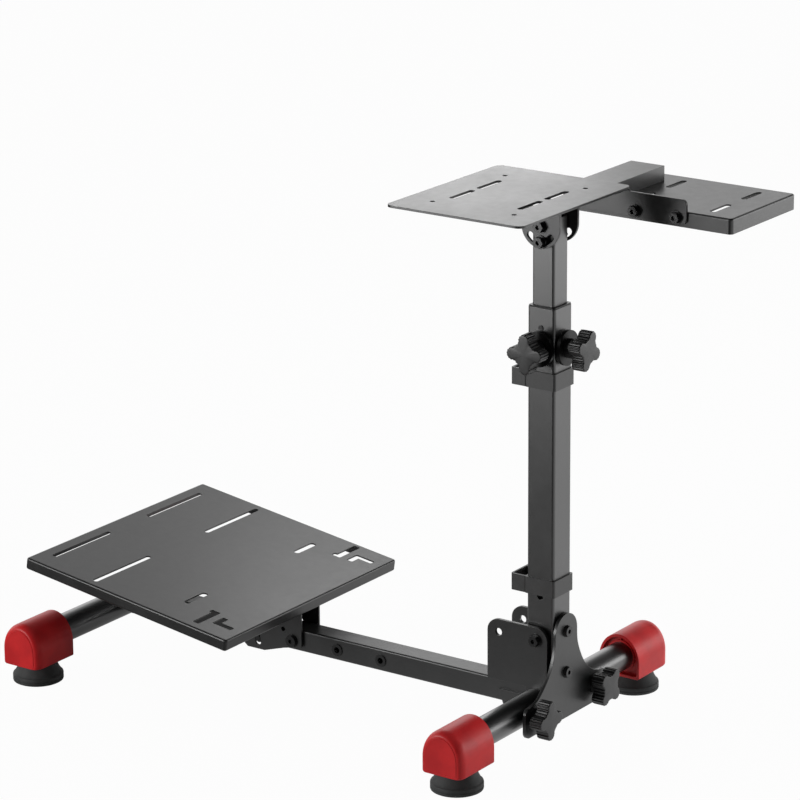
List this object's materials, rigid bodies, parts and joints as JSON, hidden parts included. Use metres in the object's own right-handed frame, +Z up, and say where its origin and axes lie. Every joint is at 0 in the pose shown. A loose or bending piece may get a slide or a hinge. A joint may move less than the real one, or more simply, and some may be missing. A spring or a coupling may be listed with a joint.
{
  "type": "racing wheel stand",
  "caption": "Free-standing steel stand for a game steering wheel, with folding height-adjustable post, tilting wheel deck, shifter tray and tilting pedal plate on a tube base.",
  "frame": {"origin": "middle of the footprint on the floor, in the rest pose", "axes": "+Z up, +Y forward from the driver to the pedals, +X to the driver's right"},
  "size_m": [0.535, 0.8894, 0.702],
  "materials": {
    "black_steel": "satin black powder coat",
    "red_cap": "satin red moulded plastic",
    "foot_rubber": "matt dark grey rubber",
    "black_plastic": "moulded black plastic",
    "dark_bolt": "black oxide"
  },
  "bodies": {
    "base": {"front_tube": "black_steel", "rear_tube": "black_steel", "main_beam": "black_steel", "beam_inserts": "dark_bolt", "front_saddle": "black_steel", "rear_saddle": "black_steel", "cap_front_left": "red_cap", "cap_front_right": "red_cap", "cap_rear_left": "red_cap", "cap_rear_right": "red_cap", "foot_front_left": "foot_rubber", "foot_front_right": "foot_rubber", "foot_rear_left": "foot_rubber", "foot_rear_right": "foot_rubber", "ear_left": "black_steel", "ear_right": "black_steel", "fold_bolt": "dark_bolt", "pedal_bolts": "dark_bolt"},
    "post": {"outer_post": "black_steel", "front_plate": "black_steel", "plate_spacer": "black_plastic", "plate_bolts": "dark_bolt", "front_boss": "black_plastic", "side_boss": "black_plastic", "post_bush": "black_plastic", "bush_screw": "black_plastic", "lower_clip": "black_plastic", "upper_clip": "black_plastic"},
    "inner": {"inner_post": "black_steel", "deck_bolts": "dark_bolt"},
    "deck": {"deck_ear_left": "black_steel", "deck_ear_right": "black_steel", "wheel_plate": "black_steel", "shifter_bracket": "black_steel", "shifter_tray": "black_steel", "tray_brace": "black_steel", "tray_bolts": "dark_bolt"},
    "pedals": {"pedal_plate": "black_steel", "pedal_bracket": "black_steel"},
    "knob_lower_left": {"lower_knob_left": "black_plastic"},
    "knob_lower_right": {"lower_knob_right": "black_plastic"},
    "knob_height_front": {"height_knob_front": "black_plastic"},
    "knob_height_side": {"height_knob_side": "black_plastic"}
  },
  "joints": [
    {"name": "post_fold", "type": "hinge", "parent": "base", "child": "post", "pos_m": [-0.0155, -0.2607, 0.139], "axis": [-1, 0, 0], "range_deg": [0, 60]},
    {"name": "post_height", "type": "slide", "parent": "post", "child": "inner", "axis": [0, 0, 1], "range_m": [-0.065, 0.15]},
    {"name": "deck_tilt", "type": "hinge", "parent": "inner", "child": "deck", "pos_m": [-0.0155, -0.2607, 0.675], "axis": [1, 0, 0], "range_deg": [-35, 35]},
    {"name": "pedal_tilt", "type": "hinge", "parent": "base", "child": "pedals", "pos_m": [-0.0155, 0.1293, 0.0545], "axis": [1, 0, 0], "range_deg": [-8.3, 4]},
    {"name": "lower_knob_left_turn", "type": "hinge", "parent": "post", "child": "knob_lower_left", "pos_m": [-0.0855, -0.2877, 0.054], "axis": [0, -1, 0], "range_deg": [0, 360]},
    {"name": "lower_knob_right_turn", "type": "hinge", "parent": "post", "child": "knob_lower_right", "pos_m": [0.0545, -0.2877, 0.054], "axis": [0, -1, 0], "range_deg": [0, 360]},
    {"name": "height_knob_front_turn", "type": "hinge", "parent": "post", "child": "knob_height_front", "pos_m": [-0.0155, -0.2892, 0.52], "axis": [0, -1, 0], "range_deg": [0, 360]},
    {"name": "height_knob_side_turn", "type": "hinge", "parent": "post", "child": "knob_height_side", "pos_m": [-0.044, -0.2607, 0.52], "axis": [-1, 0, 0], "range_deg": [0, 360]}
  ]
}
